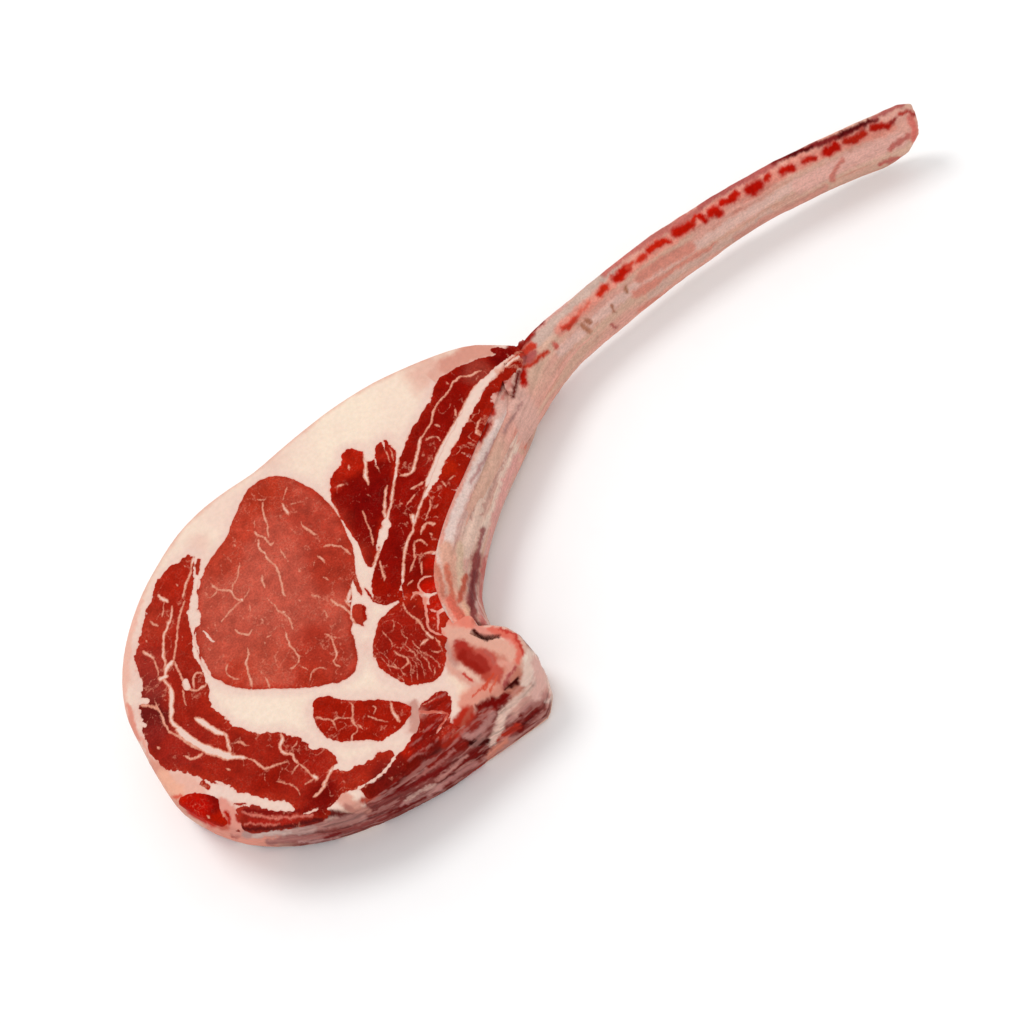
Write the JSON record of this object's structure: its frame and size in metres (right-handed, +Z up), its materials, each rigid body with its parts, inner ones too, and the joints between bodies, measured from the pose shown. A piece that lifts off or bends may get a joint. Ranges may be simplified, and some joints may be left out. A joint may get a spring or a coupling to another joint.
{
  "type": "raw tomahawk steak",
  "caption": "Thick raw rib steak with marbled lean muscles, broad cream fat and the whole curved rib bone left on as a handle.",
  "frame": {"origin": "middle of the base of the bounding box, on the plane the lower cut face rests on", "axes": "+X along the rib bone from the meat to its tip, +Y towards the fat back of the steak, +Z up out of the upper cut face"},
  "size_m": [0.4856, 0.1895, 0.0488],
  "materials": {
    "eye_lean": "moist raw lean meat, rosy brown-red with cream marbling, soft sheen",
    "dark_lean": "moist raw lean meat, deep red with cream marbling, soft sheen",
    "bright_lean": "moist raw lean meat, bright red, soft sheen",
    "fat": "firm cream fat, pink where it meets the lean, faint sheen",
    "membrane": "thin moist membrane with pink and beige streaks along the rib",
    "bone": "scraped rib bone, beige and pink with purple-red and red blood spots",
    "cut_bone": "sawn bone with a cream rim and red marrow"
  },
  "bodies": {
    "root": {"eye_muscle": "eye_lean", "cap_muscle": "dark_lean", "fan_muscle": "dark_lean", "outer_rib_strip": "dark_lean", "inner_rib_strip": "dark_lean", "multifidus": "dark_lean", "complexus": "dark_lean", "chine_muscle": "dark_lean", "lip_muscle": "dark_lean", "edge_muscle": "bright_lean", "fat": "fat", "rib_membrane": "membrane", "rib_bone": "bone", "vertebra": "cut_bone"}
  },
  "joints": []
}
